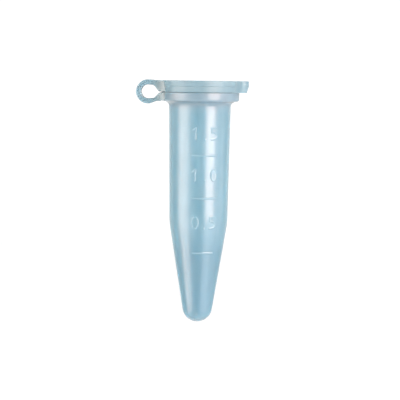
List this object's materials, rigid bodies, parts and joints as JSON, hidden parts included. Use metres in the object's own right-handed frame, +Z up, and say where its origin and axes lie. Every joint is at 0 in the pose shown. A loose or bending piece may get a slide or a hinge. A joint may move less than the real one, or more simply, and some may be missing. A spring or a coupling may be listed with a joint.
{
  "type": "microcentrifuge tube",
  "caption": "Small translucent tube with a tapered barrel, a conical round end, a mouth collar and a snap lid on a moulded strap that folds fully open.",
  "frame": {"origin": "on the tube's axis, in the plane of the seat under the mouth collar", "axes": "+Z up along the tube's axis towards the lid, +X to the thumb tab, -X to the hinge strap, graduations face -Y"},
  "size_m": [0.0191, 0.0134, 0.0413],
  "materials": {
    "tube_polypropylene": "translucent pale blue, satin moulded",
    "lid_polypropylene": "translucent pale blue, satin moulded",
    "strap_polypropylene": "translucent pale blue, satin moulded",
    "graduation_polypropylene": "raised, lightly frosted"
  },
  "bodies": {
    "tube": {"tube_body": "tube_polypropylene", "mouth_collar": "tube_polypropylene", "strap_root_tube": "strap_polypropylene", "graduation_line_1_5": "graduation_polypropylene", "numeral_1_5_units": "graduation_polypropylene", "numeral_1_5_point": "graduation_polypropylene", "numeral_1_5_tenths": "graduation_polypropylene", "graduation_line_1_0": "graduation_polypropylene", "numeral_1_0_units": "graduation_polypropylene", "numeral_1_0_point": "graduation_polypropylene", "numeral_1_0_tenths": "graduation_polypropylene", "graduation_line_0_5": "graduation_polypropylene", "numeral_0_5_units": "graduation_polypropylene", "numeral_0_5_point": "graduation_polypropylene", "numeral_0_5_tenths": "graduation_polypropylene"},
    "strap_near_tube": {"strap_link_1": "strap_polypropylene"},
    "strap_near_lid": {"strap_link_2": "strap_polypropylene"},
    "lid": {"lid_plate": "lid_polypropylene", "lid_rim": "lid_polypropylene", "sealing_plug": "lid_polypropylene", "thumb_tab": "lid_polypropylene", "strap_root_lid": "strap_polypropylene"}
  },
  "joints": [
    {"name": "strap_bend_1", "type": "hinge", "parent": "tube", "child": "strap_near_tube", "pos_m": [-0.00965, 0, 0.00021], "axis": [0, -1, 0], "range_deg": [0, 60]},
    {"name": "strap_bend_2", "type": "hinge", "parent": "strap_near_tube", "child": "strap_near_lid", "pos_m": [-0.01045, 0, 0.0016], "axis": [0, -1, 0], "range_deg": [0, 60]},
    {"name": "lid_hinge", "type": "hinge", "parent": "strap_near_lid", "child": "lid", "pos_m": [-0.00965, 0, 0.00299], "axis": [0, -1, 0], "range_deg": [0, 60]}
  ],
  "couplings": [
    {"joint": "strap_bend_1", "follows": "lid_hinge", "ratio": 1},
    {"joint": "strap_bend_2", "follows": "lid_hinge", "ratio": 1}
  ]
}
